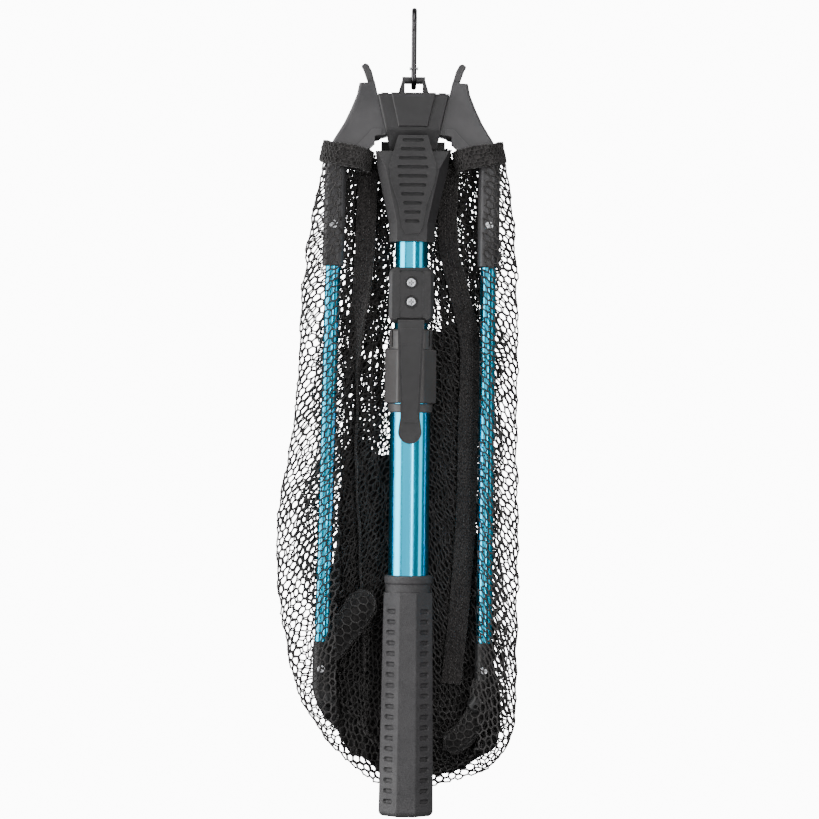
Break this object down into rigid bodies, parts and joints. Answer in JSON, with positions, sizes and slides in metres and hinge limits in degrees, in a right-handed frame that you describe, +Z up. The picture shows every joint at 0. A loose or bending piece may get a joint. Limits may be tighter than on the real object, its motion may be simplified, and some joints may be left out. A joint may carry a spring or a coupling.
{
  "type": "folding landing net",
  "caption": "Folding landing net, stored closed: hinged arms and gathered mesh bag hang beside a telescoping grip handle from a carabiner.",
  "frame": {"origin": "inside top of the carabiner's bow, where a hook or finger holds it", "axes": "+Z up along the handle, away from the grip; -Y out of the thumb slider and belt clip; +X to the right seen from that side"},
  "size_m": [0.1695, 0.0525, 0.5648],
  "materials": {
    "charcoal_plastic": "satin moulded nylon",
    "black_plastic": "satin moulded nylon",
    "lock_plastic": "satin moulded nylon",
    "blue_tube": "bright anodised",
    "steel_screw": "zinc plated",
    "dark_steel": "black nickel",
    "grip_rubber": "fine leather grain",
    "net_mesh": "knotless nylon mesh",
    "webbing": "stitched polyester tape"
  },
  "bodies": {
    "carabiner": {"carabiner_body": "dark_steel", "gate_pin": "steel_screw"},
    "gate": {"carabiner_gate": "dark_steel"},
    "head": {"head_core": "black_plastic", "head_front_cover": "charcoal_plastic", "head_rear_cover": "charcoal_plastic", "head_screws": "steel_screw", "left_hinge_bolt": "steel_screw", "right_hinge_bolt": "steel_screw", "upper_tube": "blue_tube", "upper_tube_plug": "black_plastic", "clip_base": "charcoal_plastic", "clip_plate": "charcoal_plastic", "clip_screws": "steel_screw"},
    "slider": {"lock_slider": "charcoal_plastic"},
    "belt_clip": {"belt_clip": "charcoal_plastic"},
    "lower_handle": {"lock_collet": "lock_plastic", "lock_ring": "lock_plastic", "lower_tube": "blue_tube", "grip": "grip_rubber", "butt_plug": "black_plastic"},
    "lock_nut": {"lock_nut": "lock_plastic"},
    "left_arm": {"left_wing": "charcoal_plastic", "left_arm_tube": "blue_tube", "left_arm_screw": "steel_screw", "left_tip_elbow": "black_plastic", "left_tip_screw": "steel_screw", "left_net_hem": "webbing", "left_net_front": "net_mesh"},
    "left_net": {"left_net_bag": "net_mesh", "left_rim_band": "webbing"},
    "right_arm": {"right_wing": "charcoal_plastic", "right_arm_tube": "blue_tube", "right_arm_screw": "steel_screw", "right_tip_elbow": "black_plastic", "right_tip_screw": "steel_screw", "right_net_hem": "webbing", "right_net_front": "net_mesh"},
    "right_net": {"right_net_bag": "net_mesh", "right_rim_band": "webbing"}
  },
  "joints": [
    {"name": "gate_open", "type": "hinge", "parent": "carabiner", "child": "gate", "pos_m": [0, -0.00833, -0.0396], "axis": [-1, 0, 0], "range_deg": [0, 28], "stiffness_Nm_per_rad": 0.05, "springref_deg": -17.19},
    {"name": "head_swing", "type": "hinge", "parent": "carabiner", "child": "head", "pos_m": [0, 0, -0.0471], "axis": [1, 0, 0], "range_deg": [-60, 60]},
    {"name": "slider_lock", "type": "slide", "parent": "head", "child": "slider", "axis": [0, 0, 1], "range_m": [0, 0.0045]},
    {"name": "left_arm_flip", "type": "hinge", "parent": "head", "child": "left_arm", "pos_m": [-0.02329, 0, -0.0645], "axis": [0.9752, 0, 0.2214], "range_deg": [0, 180]},
    {"name": "right_arm_flip", "type": "hinge", "parent": "head", "child": "right_arm", "pos_m": [0.02329, 0, -0.0645], "axis": [0.9752, 0, -0.2214], "range_deg": [0, 180]},
    {"name": "left_net_fan", "type": "hinge", "parent": "left_arm", "child": "left_net", "pos_m": [0, 0, -0.05921], "axis": [0, 1, 0], "range_deg": [-25.6, 0]},
    {"name": "right_net_fan", "type": "hinge", "parent": "right_arm", "child": "right_net", "pos_m": [0, 0, -0.05921], "axis": [0, 1, 0], "range_deg": [0, 25.6]},
    {"name": "handle_telescope", "type": "slide", "parent": "head", "child": "lower_handle", "axis": [0, 0, -1], "range_m": [0, 0.2]},
    {"name": "lock_twist", "type": "hinge", "parent": "lower_handle", "child": "lock_nut", "pos_m": [0, 0, -0.254], "axis": [0, 0, 1], "range_deg": [0, 60]},
    {"name": "clip_flex", "type": "hinge", "parent": "head", "child": "belt_clip", "pos_m": [0, -0.0192, -0.2162], "axis": [-1, 0, 0], "range_deg": [0, 6], "stiffness_Nm_per_rad": 0.6, "springref_deg": -2.86}
  ],
  "couplings": [
    {"joint": "right_arm_flip", "follows": "left_arm_flip", "ratio": 1},
    {"joint": "left_net_fan", "follows": "left_arm_flip", "ratio": -0.14213},
    {"joint": "right_net_fan", "follows": "left_arm_flip", "ratio": 0.14213}
  ]
}
